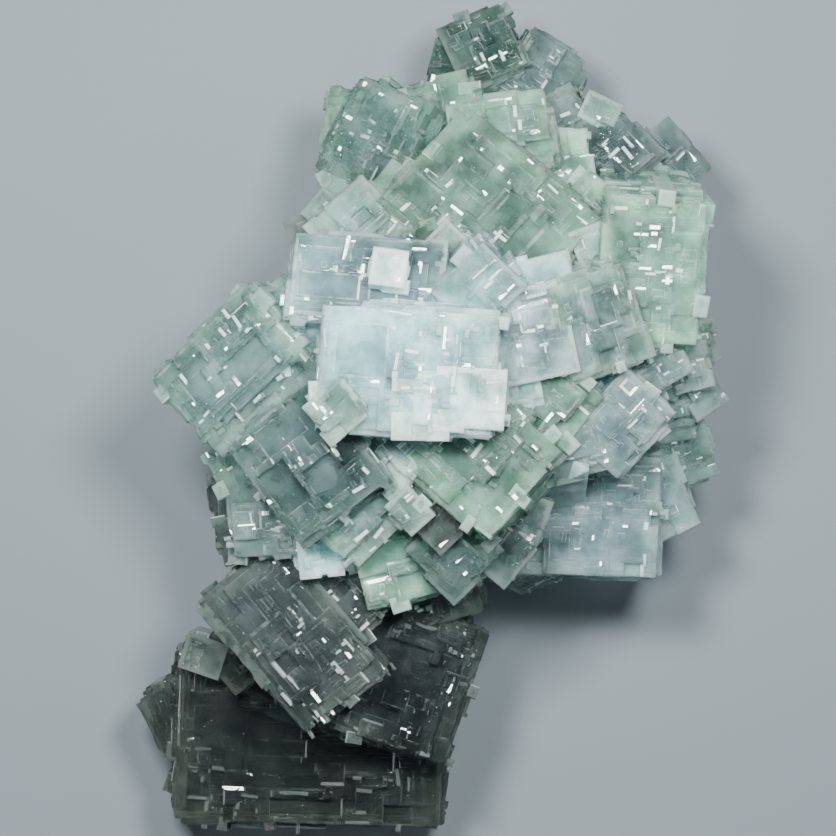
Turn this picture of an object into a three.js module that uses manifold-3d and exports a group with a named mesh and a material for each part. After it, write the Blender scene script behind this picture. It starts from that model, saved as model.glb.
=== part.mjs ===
// A hand-sized cluster of intergrown fluorite cubes, grown together as one piece.
// Millimetres. The cluster lies on its back, which is cut flat at Z = 0. The crystal side faces +Z,
// +Y runs from the dark cubes at its lower end to the peak at its upper end, and the origin is the
// middle of its bounding box at the level that it rests on.
import * as THREE from "three";
import { mergeVertices } from "three/addons/utils/BufferGeometryUtils.js";
import Module from "manifold-3d";

const wasm = await Module();
wasm.setup();

// Driving dimensions.
const LENGTH = 96.1; // along Y, over all the crystals
const TERRACE = 0.55; // the height of one growth terrace on a crystal's face
const BLOCK = 4.5; // the usual width of the blocks that a face's terraces are made of
const MIN_BLOCKS = 2; // along each side of a face
const STEP_WIDTH = 0.12; // how far a terrace's step leans out over its height
const SLAB_MARGIN = 1.5; // how far a slab reaches past the crystal that it is cut to
const CENTRING = [-0.413, 0.128, 0]; // brings the middle of the finished cluster to the origin
const GLASSY_MINT = 0xb9d8cd;

// Each crystal is a box that stands on end. "top" is the middle of its upper face, "size" its width,
// height and depth, and "spin" turns it in its own upper face. "lean" is by how many degrees that
// face leans over, and towards which compass angle (0 is +X, 90 is +Y). "wear" is how many terraces
// its faces step down towards their edges.
const CRYSTALS = [
  // The bright bricks in the middle.
  { name: "front_brick", top: [-2.3, 4.9, 42], size: [20.5, 14.5, 22], spin: -4, lean: [4, 270], wear: 2 },
  { name: "upper_brick", top: [-7, 15.1, 37], size: [17.5, 11, 20], spin: -5, lean: [12, 100], wear: 2 },
  { name: "bright_cube", top: [-4.4, 16.4, 39.5], size: [4, 4.2, 6], spin: -8, lean: [8, 90], wear: 0 },
  { name: "middle_cube", top: [5.4, 14.1, 38.5], size: [8, 7.5, 12], spin: 45, lean: [14, 270], wear: 1 },
  { name: "pale_cube", top: [10.7, 9, 36.5], size: [10.5, 10.5, 16], spin: 12, lean: [5, 0], wear: 1 },
  { name: "pit_cube", top: [-1, 19.1, 33], size: [5, 5, 10], spin: 20, lean: [10, 200], wear: 1 },
  // The large cubes towards the upper end.
  { name: "upper_cube", top: [6.9, 23.3, 31.5], size: [21, 16.5, 22], spin: -41, lean: [16, 80], wear: 3 },
  { name: "upper_back", top: [8.1, 32.4, 27], size: [12.5, 9.5, 16], spin: 8, lean: [20, 95], wear: 2 },
  { name: "left_top", top: [-6.4, 31.8, 25], size: [11, 13, 16], spin: -27, lean: [22, 150], wear: 3 },
  { name: "left_top_back", top: [-8.8, 34.3, 20], size: [8, 9.5, 12], spin: -4, lean: [24, 150], wear: 3 },
  { name: "left_top_low", top: [-9.6, 27.1, 21], size: [6.5, 7, 12], spin: -20, lean: [20, 180], wear: 2 },
  { name: "left_shoulder", top: [-8.5, 21.7, 31], size: [9, 8.5, 14], spin: 42, lean: [18, 120], wear: 2 },
  { name: "peak", top: [6.4, 42.9, 17], size: [8.5, 9.5, 12], spin: 24, lean: [16, 110], wear: 2 },
  { name: "peak_right", top: [13.3, 39.7, 16], size: [9, 10, 12], spin: -32, lean: [20, 60], wear: 3 },
  { name: "peak_left", top: [2.2, 40.7, 16], size: [5.5, 6, 10], spin: -12, lean: [22, 140], wear: 2 },
  { name: "right_top", top: [21.3, 30.9, 20], size: [9.5, 9.5, 14], spin: 42, lean: [22, 60], wear: 2 },
  { name: "right_small", top: [20.1, 35.1, 19], size: [5, 3.6, 8], spin: -25, lean: [16, 60], wear: 1 },
  { name: "right_far", top: [27.5, 29, 17], size: [9.5, 8.5, 12], spin: 41, lean: [22, 40], wear: 2 },
  { name: "wedge_cube", top: [15.5, 28.5, 25], size: [7, 8.5, 12], spin: 8, lean: [15, 45], wear: 1 },
  // The right side.
  { name: "right_block", top: [25.1, 16.1, 33], size: [12, 17.5, 20], spin: -3, lean: [14, 280], wear: 2 },
  { name: "mid_right", top: [19, 10.2, 35], size: [11, 12.5, 18], spin: 18, lean: [12, 330], wear: 2 },
  { name: "right_pair", top: [21.5, -1, 31], size: [9, 10.5, 16], spin: -42, lean: [14, 300], wear: 1 },
  { name: "right_edge", top: [29.7, 5.5, 25], size: [5.2, 5.4, 12], spin: 14, lean: [16, 350], wear: 1 },
  { name: "right_edge_tip", top: [31.4, 2.7, 22], size: [4.6, 5, 10], spin: 34, lean: [18, 350], wear: 1 },
  { name: "right_edge_near", top: [26.8, 3.6, 24], size: [4.4, 4, 10], spin: -20, lean: [12, 300], wear: 1 },
  { name: "right_edge_far", top: [31.1, 8.2, 22], size: [4.8, 5.5, 10], spin: 10, lean: [20, 0], wear: 1 },
  { name: "right_edge_low", top: [27.9, -1, 22], size: [6, 6.5, 12], spin: 8, lean: [14, 330], wear: 2 },
  { name: "right_hidden", top: [30, -4.4, 18], size: [7, 8, 12], spin: 20, lean: [16, 330], wear: 2 },
  { name: "low_right", top: [18.3, -11.8, 22], size: [17.5, 14.5, 14], spin: -2, lean: [8, 280], wear: 2 },
  { name: "low_right_near", top: [11.7, -13.6, 20], size: [8.5, 9, 11], spin: -10, lean: [12, 250], wear: 2 },
  { name: "low_right_far", top: [26, -9.6, 19], size: [9, 10, 11], spin: 25, lean: [15, 330], wear: 1 },
  // The left side.
  { name: "left_point", top: [-21.8, 4.9, 34], size: [16.5, 13.4, 18], spin: 41, lean: [20, 185], wear: 3 },
  { name: "left_low", top: [-13.6, -5.2, 37], size: [15, 13.5, 18], spin: -53, lean: [10, 215], wear: 3 },
  { name: "left_low_tip", top: [-8.3, -10.2, 33.5], size: [11.5, 11.5, 16], spin: 45, lean: [8, 260], wear: 2 },
  { name: "terraced_corner", top: [-17.9, -11.5, 28.5], size: [9.5, 9.5, 14], spin: 4, lean: [6, 225], wear: 3 },
  { name: "small_clear", top: [-12.2, -15.4, 29.5], size: [6.2, 5.6, 10], spin: 6, lean: [6, 270], wear: 1 },
  { name: "left_dark", top: [-22.9, -11.1, 19], size: [5, 8.5, 10], spin: 3, lean: [10, 180], wear: 2 },
  { name: "left_grain", top: [-13.8, 20.7, 26], size: [4.2, 4.6, 8], spin: 22, lean: [12, 160], wear: 0 },
  { name: "left_grain_high", top: [-11.8, 23.3, 27], size: [4, 4, 8], spin: 50, lean: [12, 140], wear: 0 },
  // The green cubes below the middle.
  { name: "centre_low", top: [5.6, -3.9, 36], size: [14.4, 14.4, 18], spin: -42, lean: [7, 150], wear: 2 },
  { name: "rim_cube", top: [-2.3, -10.7, 34.5], size: [4.2, 4.6, 10], spin: 42, lean: [8, 250], wear: 1 },
  { name: "fill_cube", top: [-0.5, -7.5, 33], size: [7, 6.5, 12], spin: 45, lean: [6, 250], wear: 1 },
  { name: "green_low", top: [-1.5, -15.9, 28.5], size: [14.5, 10.5, 15], spin: 14, lean: [8, 265], wear: 2 },
  { name: "green_corner", top: [2.9, -15.4, 31], size: [8.5, 8.5, 13], spin: 45, lean: [8, 270], wear: 1 },
  { name: "green_right", top: [8, -14.9, 29], size: [6.5, 7, 12], spin: 50, lean: [12, 320], wear: 1 },
  // The dark cubes at the lower end.
  { name: "diamond", top: [-15.5, -25.1, 26], size: [20, 13, 13], spin: -50, lean: [8, 225], wear: 2 },
  { name: "dark_right", top: [-2, -30.1, 21], size: [15.5, 17.5, 13], spin: -19, lean: [14, 350], wear: 3 },
  { name: "dark_bottom", top: [-13.9, -37.9, 14], size: [32, 20.5, 11], spin: -2, lean: [6, 270], wear: 3 },
  { name: "dark_knob", top: [-29, -34.5, 13], size: [8.5, 8, 8], spin: 27, lean: [10, 200], wear: 2 },
  { name: "dark_corner", top: [-26.4, -42.1, 11.5], size: [7, 7, 8], spin: -24, lean: [10, 215], wear: 2 },
  { name: "light_cube", top: [-26, -27.7, 17.5], size: [5, 4.3, 7], spin: -18, lean: [8, 200], wear: 0 },
  { name: "low_plate", top: [-19.5, -47, 11], size: [6, 2.4, 6], spin: 0, lean: [6, 270], wear: 0 },
  // Around the foot, facing outward and partly broken off by the rest.
  { name: "foot_right", top: [30, 13, 12], size: [11, 10, 13], spin: 25, lean: [68, 5], wear: 2 },
  { name: "foot_right_high", top: [25.5, 24.5, 9], size: [9, 9, 12], spin: 50, lean: [62, 42], wear: 2 },
  { name: "foot_right_low", top: [28, -7, 8], size: [10, 9, 12], spin: 15, lean: [66, 338], wear: 2 },
  { name: "foot_under_right", top: [15, -18.5, 9], size: [12, 9, 12], spin: 35, lean: [70, 288], wear: 2 },
  { name: "foot_top", top: [8, 41.5, 7], size: [9, 9, 11], spin: 20, lean: [66, 95], wear: 2 },
  { name: "foot_left_high", top: [-7.5, 30.5, 8], size: [10, 10, 12], spin: 40, lean: [64, 150], wear: 2 },
  { name: "foot_left", top: [-19.5, 10, 10], size: [11, 10, 13], spin: 30, lean: [66, 165], wear: 2 },
  { name: "foot_left_low", top: [-22.5, -8, 8], size: [10, 10, 12], spin: 10, lean: [68, 190], wear: 2 },
  { name: "foot_dark", top: [3, -29.5, 6], size: [11, 8, 10], spin: 25, lean: [66, 345], wear: 1 },
  // Smaller ones that fill the gaps between the others.
  { name: "fill_peak", top: [1.4, 35.6, 21], size: [8.5, 7.5, 11], spin: 12, lean: [16, 120], wear: 2 },
  { name: "fill_top", top: [15.5, 34.4, 19.5], size: [7, 7, 10], spin: 28, lean: [20, 70], wear: 1 },
  { name: "fill_left_top", top: [-9.6, 26, 24.5], size: [5, 5.5, 9], spin: 30, lean: [18, 160], wear: 1 },
  { name: "fill_ridge", top: [-4, 25.5, 28.5], size: [6, 7, 10], spin: -38, lean: [16, 120], wear: 1 },
  { name: "fill_wedge", top: [18.1, 23, 29.5], size: [7.5, 9, 12], spin: -40, lean: [14, 20], wear: 2 },
  { name: "fill_wedge_low", top: [19.2, 18.7, 31], size: [5.5, 6, 10], spin: 20, lean: [10, 300], wear: 1 },
  { name: "fill_pit", top: [2.4, 18.9, 33.8], size: [5, 5, 9], spin: 45, lean: [12, 270], wear: 1 },
  { name: "fill_pale", top: [12.7, 14.8, 34.4], size: [7, 6, 11], spin: 14, lean: [8, 330], wear: 1 },
  { name: "fill_left_high", top: [-16.2, 13, 32], size: [6.5, 6, 11], spin: 38, lean: [14, 150], wear: 2 },
  { name: "fill_left", top: [-13.5, 7.9, 35], size: [6, 9.5, 12], spin: 8, lean: [10, 190], wear: 2 },
  { name: "fill_right", top: [25, 6.1, 29], size: [8, 8, 12], spin: 30, lean: [14, 320], wear: 2 },
  { name: "fill_centre", top: [12.9, 1.6, 34], size: [11.5, 10, 14], spin: -38, lean: [10, 300], wear: 2 },
  { name: "fill_centre_low", top: [17.3, -3.3, 31], size: [8.5, 8, 12], spin: 12, lean: [12, 300], wear: 2 },
  { name: "fill_centre_high", top: [9.2, 3.5, 35.5], size: [6.5, 6, 12], spin: 12, lean: [8, 320], wear: 1 },
  { name: "fill_brick", top: [-4.5, -3.5, 35.5], size: [9.5, 9, 13], spin: 45, lean: [6, 250], wear: 2 },
  { name: "fill_corner", top: [-21.2, -5.7, 28], size: [7.5, 8, 12], spin: 30, lean: [14, 200], wear: 2 },
  { name: "fill_green", top: [1.4, -11.1, 33], size: [6.5, 6.5, 12], spin: 45, lean: [8, 280], wear: 1 },
  { name: "fill_low", top: [10.2, -12, 27.5], size: [6, 7, 12], spin: -20, lean: [12, 300], wear: 1 },
  { name: "fill_dark", top: [-21.9, -14.1, 23.5], size: [5, 5.5, 10], spin: 14, lean: [10, 200], wear: 1 },
  { name: "fill_diamond", top: [-8.7, -20.1, 26], size: [9, 9.5, 12], spin: 42, lean: [8, 260], wear: 2 },
  { name: "fill_green_low", top: [0.9, -20.8, 22], size: [11, 7, 12], spin: 14, lean: [8, 280], wear: 2 },
  { name: "fill_knob", top: [-22.1, -27.9, 17.5], size: [6.5, 6, 9], spin: -50, lean: [8, 210], wear: 1 },
];

// Broken, massive fluorite behind the crystals: cleaved lumps, each an octahedron on its side.
const LUMPS = [
  { middle: [9, 14, 5], radii: [23, 23, 31], spin: 45 },
  { middle: [-6, -1, 6], radii: [16, 20, 29], spin: 8 },
  { middle: [-5, 10, 7], radii: [15, 19, 29], spin: 15 },
  { middle: [8, -6, 5], radii: [17, 16, 29], spin: 40 },
  { middle: [-9, -27, 2], radii: [17, 16, 20], spin: 25 },
  { middle: [7, 30, 3], radii: [15, 15, 20], spin: 20 },
  { middle: [19, 2, 5], radii: [11, 19, 24], spin: -8 },
];

const radians = (degrees) => THREE.MathUtils.degToRad(degrees);

// The same number from 0 to 1 for the same keys.
function chance(...keys) {
  const mixed = keys.reduce((sum, key, i) => sum + key * (12.9898 + 65.2 * i), 0.5);
  const wave = Math.sin(mixed) * 43758.5453;
  return wave - Math.floor(wave);
}

// A closed geometry, moved by a matrix, as a solid that can be joined and cut.
function solidOf(geometry, matrix) {
  const bare = new THREE.BufferGeometry();
  bare.setAttribute("position", geometry.getAttribute("position").clone());
  bare.setIndex(geometry.index ? geometry.index.clone() : null);
  const merged = mergeVertices(bare.applyMatrix4(matrix), 1e-5);
  return new wasm.Manifold(
    new wasm.Mesh({
      numProp: 3,
      vertProperties: merged.attributes.position.array,
      triVerts: new Uint32Array(merged.index.array),
    }),
  );
}

// The places of the lines between a face's blocks, from -half to half, unevenly spaced.
function blockLines(half, ...keys) {
  const blocks = Math.max(MIN_BLOCKS, Math.round((2 * half) / BLOCK));
  const lines = [-half - SLAB_MARGIN];
  for (let i = 1; i < blocks; i++) {
    const jitter = 0.5 * (chance(i, ...keys) - 0.5);
    lines.push(half * ((2 * (i + jitter)) / blocks - 1));
  }
  return [...lines, half + SLAB_MARGIN];
}

// Where a grid line of a slab lies: each line between two blocks is a pair, the step's foot and head.
function stepPlace(lines, i) {
  const line = lines[(i + 1) >> 1];
  const outer = i === 0 || i === 2 * lines.length - 3;
  return outer ? line : line + (i % 2 ? -0.5 : 0.5) * STEP_WIDTH;
}

// The middle of a block, as a share of the face's half width.
function blockMiddle(lines, block, half) {
  return (Math.max(lines[block], -half) + Math.min(lines[block + 1], half)) / 2 / half;
}

// How far a face is below its highest terrace, over its block at (u, v), each from -1 to 1.
function terraceDrop(u, v, wear, ...keys) {
  const offU = 0.6 * (chance(1, ...keys) - 0.5);
  const offV = 0.6 * (chance(2, ...keys) - 0.5);
  const reach = Math.max(Math.abs(u - offU), Math.abs(v - offV));
  const rough = chance(Math.round(9 * u), Math.round(9 * v), ...keys);
  return TERRACE * Math.floor(wear * reach ** 2 + 0.7 * rough);
}

// A slab across one axis of a crystal, whose two broad sides are terraced.
function terracedSlab(axis, half, wear, key) {
  const [across, along] = [half[(axis + 1) % 3], half[(axis + 2) % 3]];
  const linesU = blockLines(across, key, axis, 3);
  const linesV = blockLines(along, key, axis, 4);
  const [stepsU, stepsV] = [2 * linesU.length - 3, 2 * linesV.length - 3];
  const geometry = new THREE.BoxGeometry(1, 1, 1, stepsU, stepsV, 1);
  const place = geometry.getAttribute("position");
  for (let n = 0; n < place.count; n++) {
    const i = Math.round((place.getX(n) + 0.5) * stepsU);
    const j = Math.round((place.getY(n) + 0.5) * stepsV);
    const side = Math.sign(place.getZ(n));
    const u = blockMiddle(linesU, i >> 1, across);
    const v = blockMiddle(linesV, j >> 1, along);
    const local = [];
    local[(axis + 1) % 3] = stepPlace(linesU, i);
    local[(axis + 2) % 3] = stepPlace(linesV, j);
    local[axis] = side * (half[axis] - terraceDrop(u, v, wear, key, axis, side));
    place.setXYZ(n, ...local);
  }
  return solidOf(geometry, new THREE.Matrix4());
}

// Where a crystal stands: its box's middle is half its depth below the middle of its upper face.
function placement({ top, size, spin, lean }) {
  const [tilt, toward] = lean.map(radians);
  const hinge = new THREE.Vector3(-Math.sin(toward), Math.cos(toward), 0);
  const turn = new THREE.Quaternion().setFromAxisAngle(hinge, tilt);
  turn.multiply(new THREE.Quaternion().setFromAxisAngle(new THREE.Vector3(0, 0, 1), radians(spin)));
  const stand = new THREE.Matrix4().compose(new THREE.Vector3(...top), turn, new THREE.Vector3(1, 1, 1));
  return stand.multiply(new THREE.Matrix4().makeTranslation(0, 0, -size[2] / 2));
}

function crystal(spec, key) {
  const half = spec.size.map((side) => side / 2);
  const slabs = [0, 1, 2].map((axis) => terracedSlab(axis, half, spec.wear, key));
  return slabs[0].intersect(slabs[1]).intersect(slabs[2]).transform(placement(spec).elements);
}

function lump({ middle, radii, spin }) {
  const turn = new THREE.Quaternion().setFromEuler(new THREE.Euler(0, radians(20), radians(spin)));
  const matrix = new THREE.Matrix4().compose(new THREE.Vector3(...middle), turn, new THREE.Vector3(...radii));
  return solidOf(new THREE.OctahedronGeometry(1), matrix);
}

// Everything below the level that the cluster rests on.
function belowRest() {
  const deep = LENGTH;
  const matrix = new THREE.Matrix4().makeTranslation(0, 0, -deep / 2);
  return solidOf(new THREE.BoxGeometry(2 * LENGTH, 2 * LENGTH, deep), matrix);
}

function cluster() {
  const pieces = [...CRYSTALS.map(crystal), ...LUMPS.map(lump)];
  const grown = pieces.reduce((all, piece) => all.add(piece));
  return grown.subtract(belowRest()).translate(CENTRING);
}

// The triangles of the largest shell, without the walls of sealed gaps between the crystals.
function outerShell(triangles, vertexCount) {
  const parent = Array.from({ length: vertexCount }, (_, v) => v);
  const root = (v) => {
    while (parent[v] !== v) {
      v = parent[v] = parent[parent[v]];
    }
    return v;
  };
  for (let t = 0; t < triangles.length; t += 3) {
    parent[root(triangles[t])] = root(triangles[t + 1]);
    parent[root(triangles[t + 1])] = root(triangles[t + 2]);
  }
  const shells = Map.groupBy(triangles, root);
  return [...shells.values()].reduce((a, b) => (b.length > a.length ? b : a));
}

function meshOf(solid, name, material) {
  const { vertProperties, triVerts } = solid.getMesh();
  const geometry = new THREE.BufferGeometry();
  geometry.setAttribute("position", new THREE.BufferAttribute(vertProperties, 3));
  geometry.setIndex(outerShell(triVerts, vertProperties.length / 3));
  geometry.computeVertexNormals();
  const mesh = new THREE.Mesh(geometry, material);
  mesh.name = name;
  return mesh;
}

const fluorite = new THREE.MeshStandardMaterial({ color: GLASSY_MINT, roughness: 0.08, metalness: 0 });
const group = new THREE.Group();
group.add(meshOf(cluster(), "fluorite_cluster", fluorite));

export default group;
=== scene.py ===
# A hand-sized cluster of intergrown fluorite cubes on a pale floor, seen from straight above.
# The frame is loaded in metres. The cluster is built here in millimetres, from the same named
# crystals as its solid, with finer steps on them, and is scaled to metres once it is one piece.
import math
from collections import namedtuple

import bmesh
import bpy
import numpy as np
from mathutils import Euler, Matrix, Vector


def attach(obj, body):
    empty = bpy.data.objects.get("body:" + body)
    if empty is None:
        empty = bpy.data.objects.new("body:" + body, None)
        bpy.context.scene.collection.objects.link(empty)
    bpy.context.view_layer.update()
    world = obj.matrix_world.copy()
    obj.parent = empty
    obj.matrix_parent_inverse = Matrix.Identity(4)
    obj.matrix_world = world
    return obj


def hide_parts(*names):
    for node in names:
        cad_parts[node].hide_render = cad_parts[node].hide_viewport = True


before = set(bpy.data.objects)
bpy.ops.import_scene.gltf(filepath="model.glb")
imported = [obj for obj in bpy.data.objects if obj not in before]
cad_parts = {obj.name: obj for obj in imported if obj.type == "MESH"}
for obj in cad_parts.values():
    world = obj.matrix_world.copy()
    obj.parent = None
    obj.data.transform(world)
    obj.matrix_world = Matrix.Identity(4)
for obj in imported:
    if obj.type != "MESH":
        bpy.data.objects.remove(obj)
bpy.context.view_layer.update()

MM = 0.001

# ---------------------------------------------------------------- the crystals, in millimetres

LENGTH = 96.1  # along Y, over all the crystals
TERRACE = 0.55  # the height of one growth terrace on a crystal's face
BLOCK = 4.5  # the usual width of the blocks that a face's terraces are made of
MIN_BLOCKS = 2  # along each side of a face
BLOCK_JITTER = 0.5  # of a block's width, the range of the line between it and the next
STEP_WIDTH = 0.12  # how far a terrace's step leans out over its height
SLAB_MARGIN = 1.5  # how far a slab reaches past the crystal that it is cut to
TERRACE_SHIFT = 0.6  # the range of the highest terrace's middle, in half widths of the face
TERRACE_NOISE = 0.7  # of a terrace, the unevenness from block to block
TERRACE_GRAIN = 9  # how many patches of that unevenness lie in half a face's width
# A face of a slab is a step when it rises more than the first of these, in millimetres, and is
# a wall of the slab when it rises more than the second, in halves of the slab's depth.
LEAST_STEP = 0.1
LEAST_WALL = 1.5
CENTRING = (-0.413, 0.128, 0)  # brings the middle of the cluster to the origin

# A face holds this share of the details that would fit it, and more for each of its terraces.
CROWDING = (0.4, 0.3)
LEAST_WIDTH = 0.5  # of a flat sheet
LEAST_CUT_WIDTH = 0.4  # of one that is cut short by the margin of its face
MAP_SHIFT = 40  # between the flat maps of the three pairs of faces, so that their lines differ

HILL_AREA = 45.0  # of a crystal's face, in square millimetres, for each stepped hillock on it
HILL_SPREAD = (0.35, 1.0)  # a hillock's width, as a share of the face's
TIERS = 5  # thin plates in a hillock, one on another
TIER_RISE = 0.07
TIER_STEP = 0.2  # the most that a side of a tier stands back, as a share of the tier's width
PLATE_DEPTH = 1.5  # how far a plate reaches into the crystal
PLATE_TILT = 0.008  # radians, the most that a plate leans
PLATE_MARGIN = 0.9  # between a plate and the edges of its face
PLATE_MILK = (0.93, 1.07)  # a plate's milkiness, as a share of its crystal's
PIT_AREA = 30.0  # of a face, for each pit or notch in it
PIT_SPREAD = (0.08, 0.4)
PIT_DEPTH = 0.18  # of the shallowest pit
PIT_STEPS = 3  # a pit is up to this many times as deep
PIT_MILK = 0.9  # the milkiness of its floor, as a share of its crystal's
PIT_CUT = 2  # how far above the face the piece that cuts a pit begins

LEDGE_AREA = 2.0  # of a crystal's upper face, for each narrow ledge on it
SIDE_LEDGE_AREA = 10.0  # of its other faces
SHORTEST_LEDGE = 0.5
LEDGE_WIDTHS = (0.16, 0.45)
LEDGE_RISES = (0.04, 0.22)
LEDGE_RUN = 0.12  # how far the slope round a ledge leans out
LEDGE_DEPTH = 1.0
LEDGE_TILT = 0.14
DRIFTS = 5  # the ledges of a face gather round this many spots
DRIFT_SPREAD = 0.45  # how far a drift reaches, as a share of the face
CROSSWISE = 0.2  # of the drifting ledges lie across the others
EDGEWISE = 0.5  # of the ledges lie along the edges of the tiers instead
BEVEL_RISE = 0.14  # the height of the slope round a plate's top or a pit's floor
BEVEL_RUNS = (0.08, 0.42)  # how far that slope leans out
GLINT_SHARE = 0.26  # of the slopes carry a painted glint, a pale painted highlight
GLINT_LENGTH = 2.6  # the longest slope that does
# Of the ledges that do, on the upper faces of all but the darkest crystals, this share is turned
# to mirror the key light to the camera.
FLASH_SHARE = 0.3

BUD_SPACING = 5.5  # along the edges of a crystal's upper face, between the buds grown there
BUD_SIZES = (0.9, 2.4)
BUD_DROPS = (-0.2, 2.2)  # how far a bud's top is below the upper face
BUD_TURN = 9  # degrees, the most that a bud is turned from its crystal
WIDEST_BUD = 0.8  # of half the narrower side of its crystal
BUD_REACH = 0.85  # of each edge, that buds grow along
BUD_INSET = 0.25  # of a bud's width, from the crystal's edge to the bud's middle
BUD_BEVEL = (0.12, 0.25)  # how far the slope round a bud's top leans out, and its height
BUD_MILK = 1.2  # its milkiness, as a share of its crystal's
LUMP_LEAN = 20  # degrees, of each cleaved lump behind the crystals
LUMP_MILK = 0.8
BASE_MILK = 0.9  # of the flat cut that the cluster rests on
DARK_END = -20  # along Y, where the dark lower end of the cluster begins, dark partly as its fluorite's colour and partly as painted shade

# The colours of the crystals.
TINTS = {
    # A near-white painted highlight and glow, for crystals that face the light.
    "painted_highlight_tint": (0.86, 1.0, 0.98),
    "white": (0.66, 0.90, 0.93),
    "lavender": (0.60, 0.68, 0.72),
    "mint": (0.50, 0.72, 0.58),
    "pale": (0.55, 0.69, 0.64),
    "grey": (0.48, 0.58, 0.56),
    "mist": (0.36, 0.47, 0.50),
    "shade": (0.18, 0.25, 0.225),
    "slate": (0.31, 0.37, 0.37),
    "smoke": (0.275, 0.28, 0.275),
    "dark": (0.25, 0.235, 0.22),
}

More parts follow.
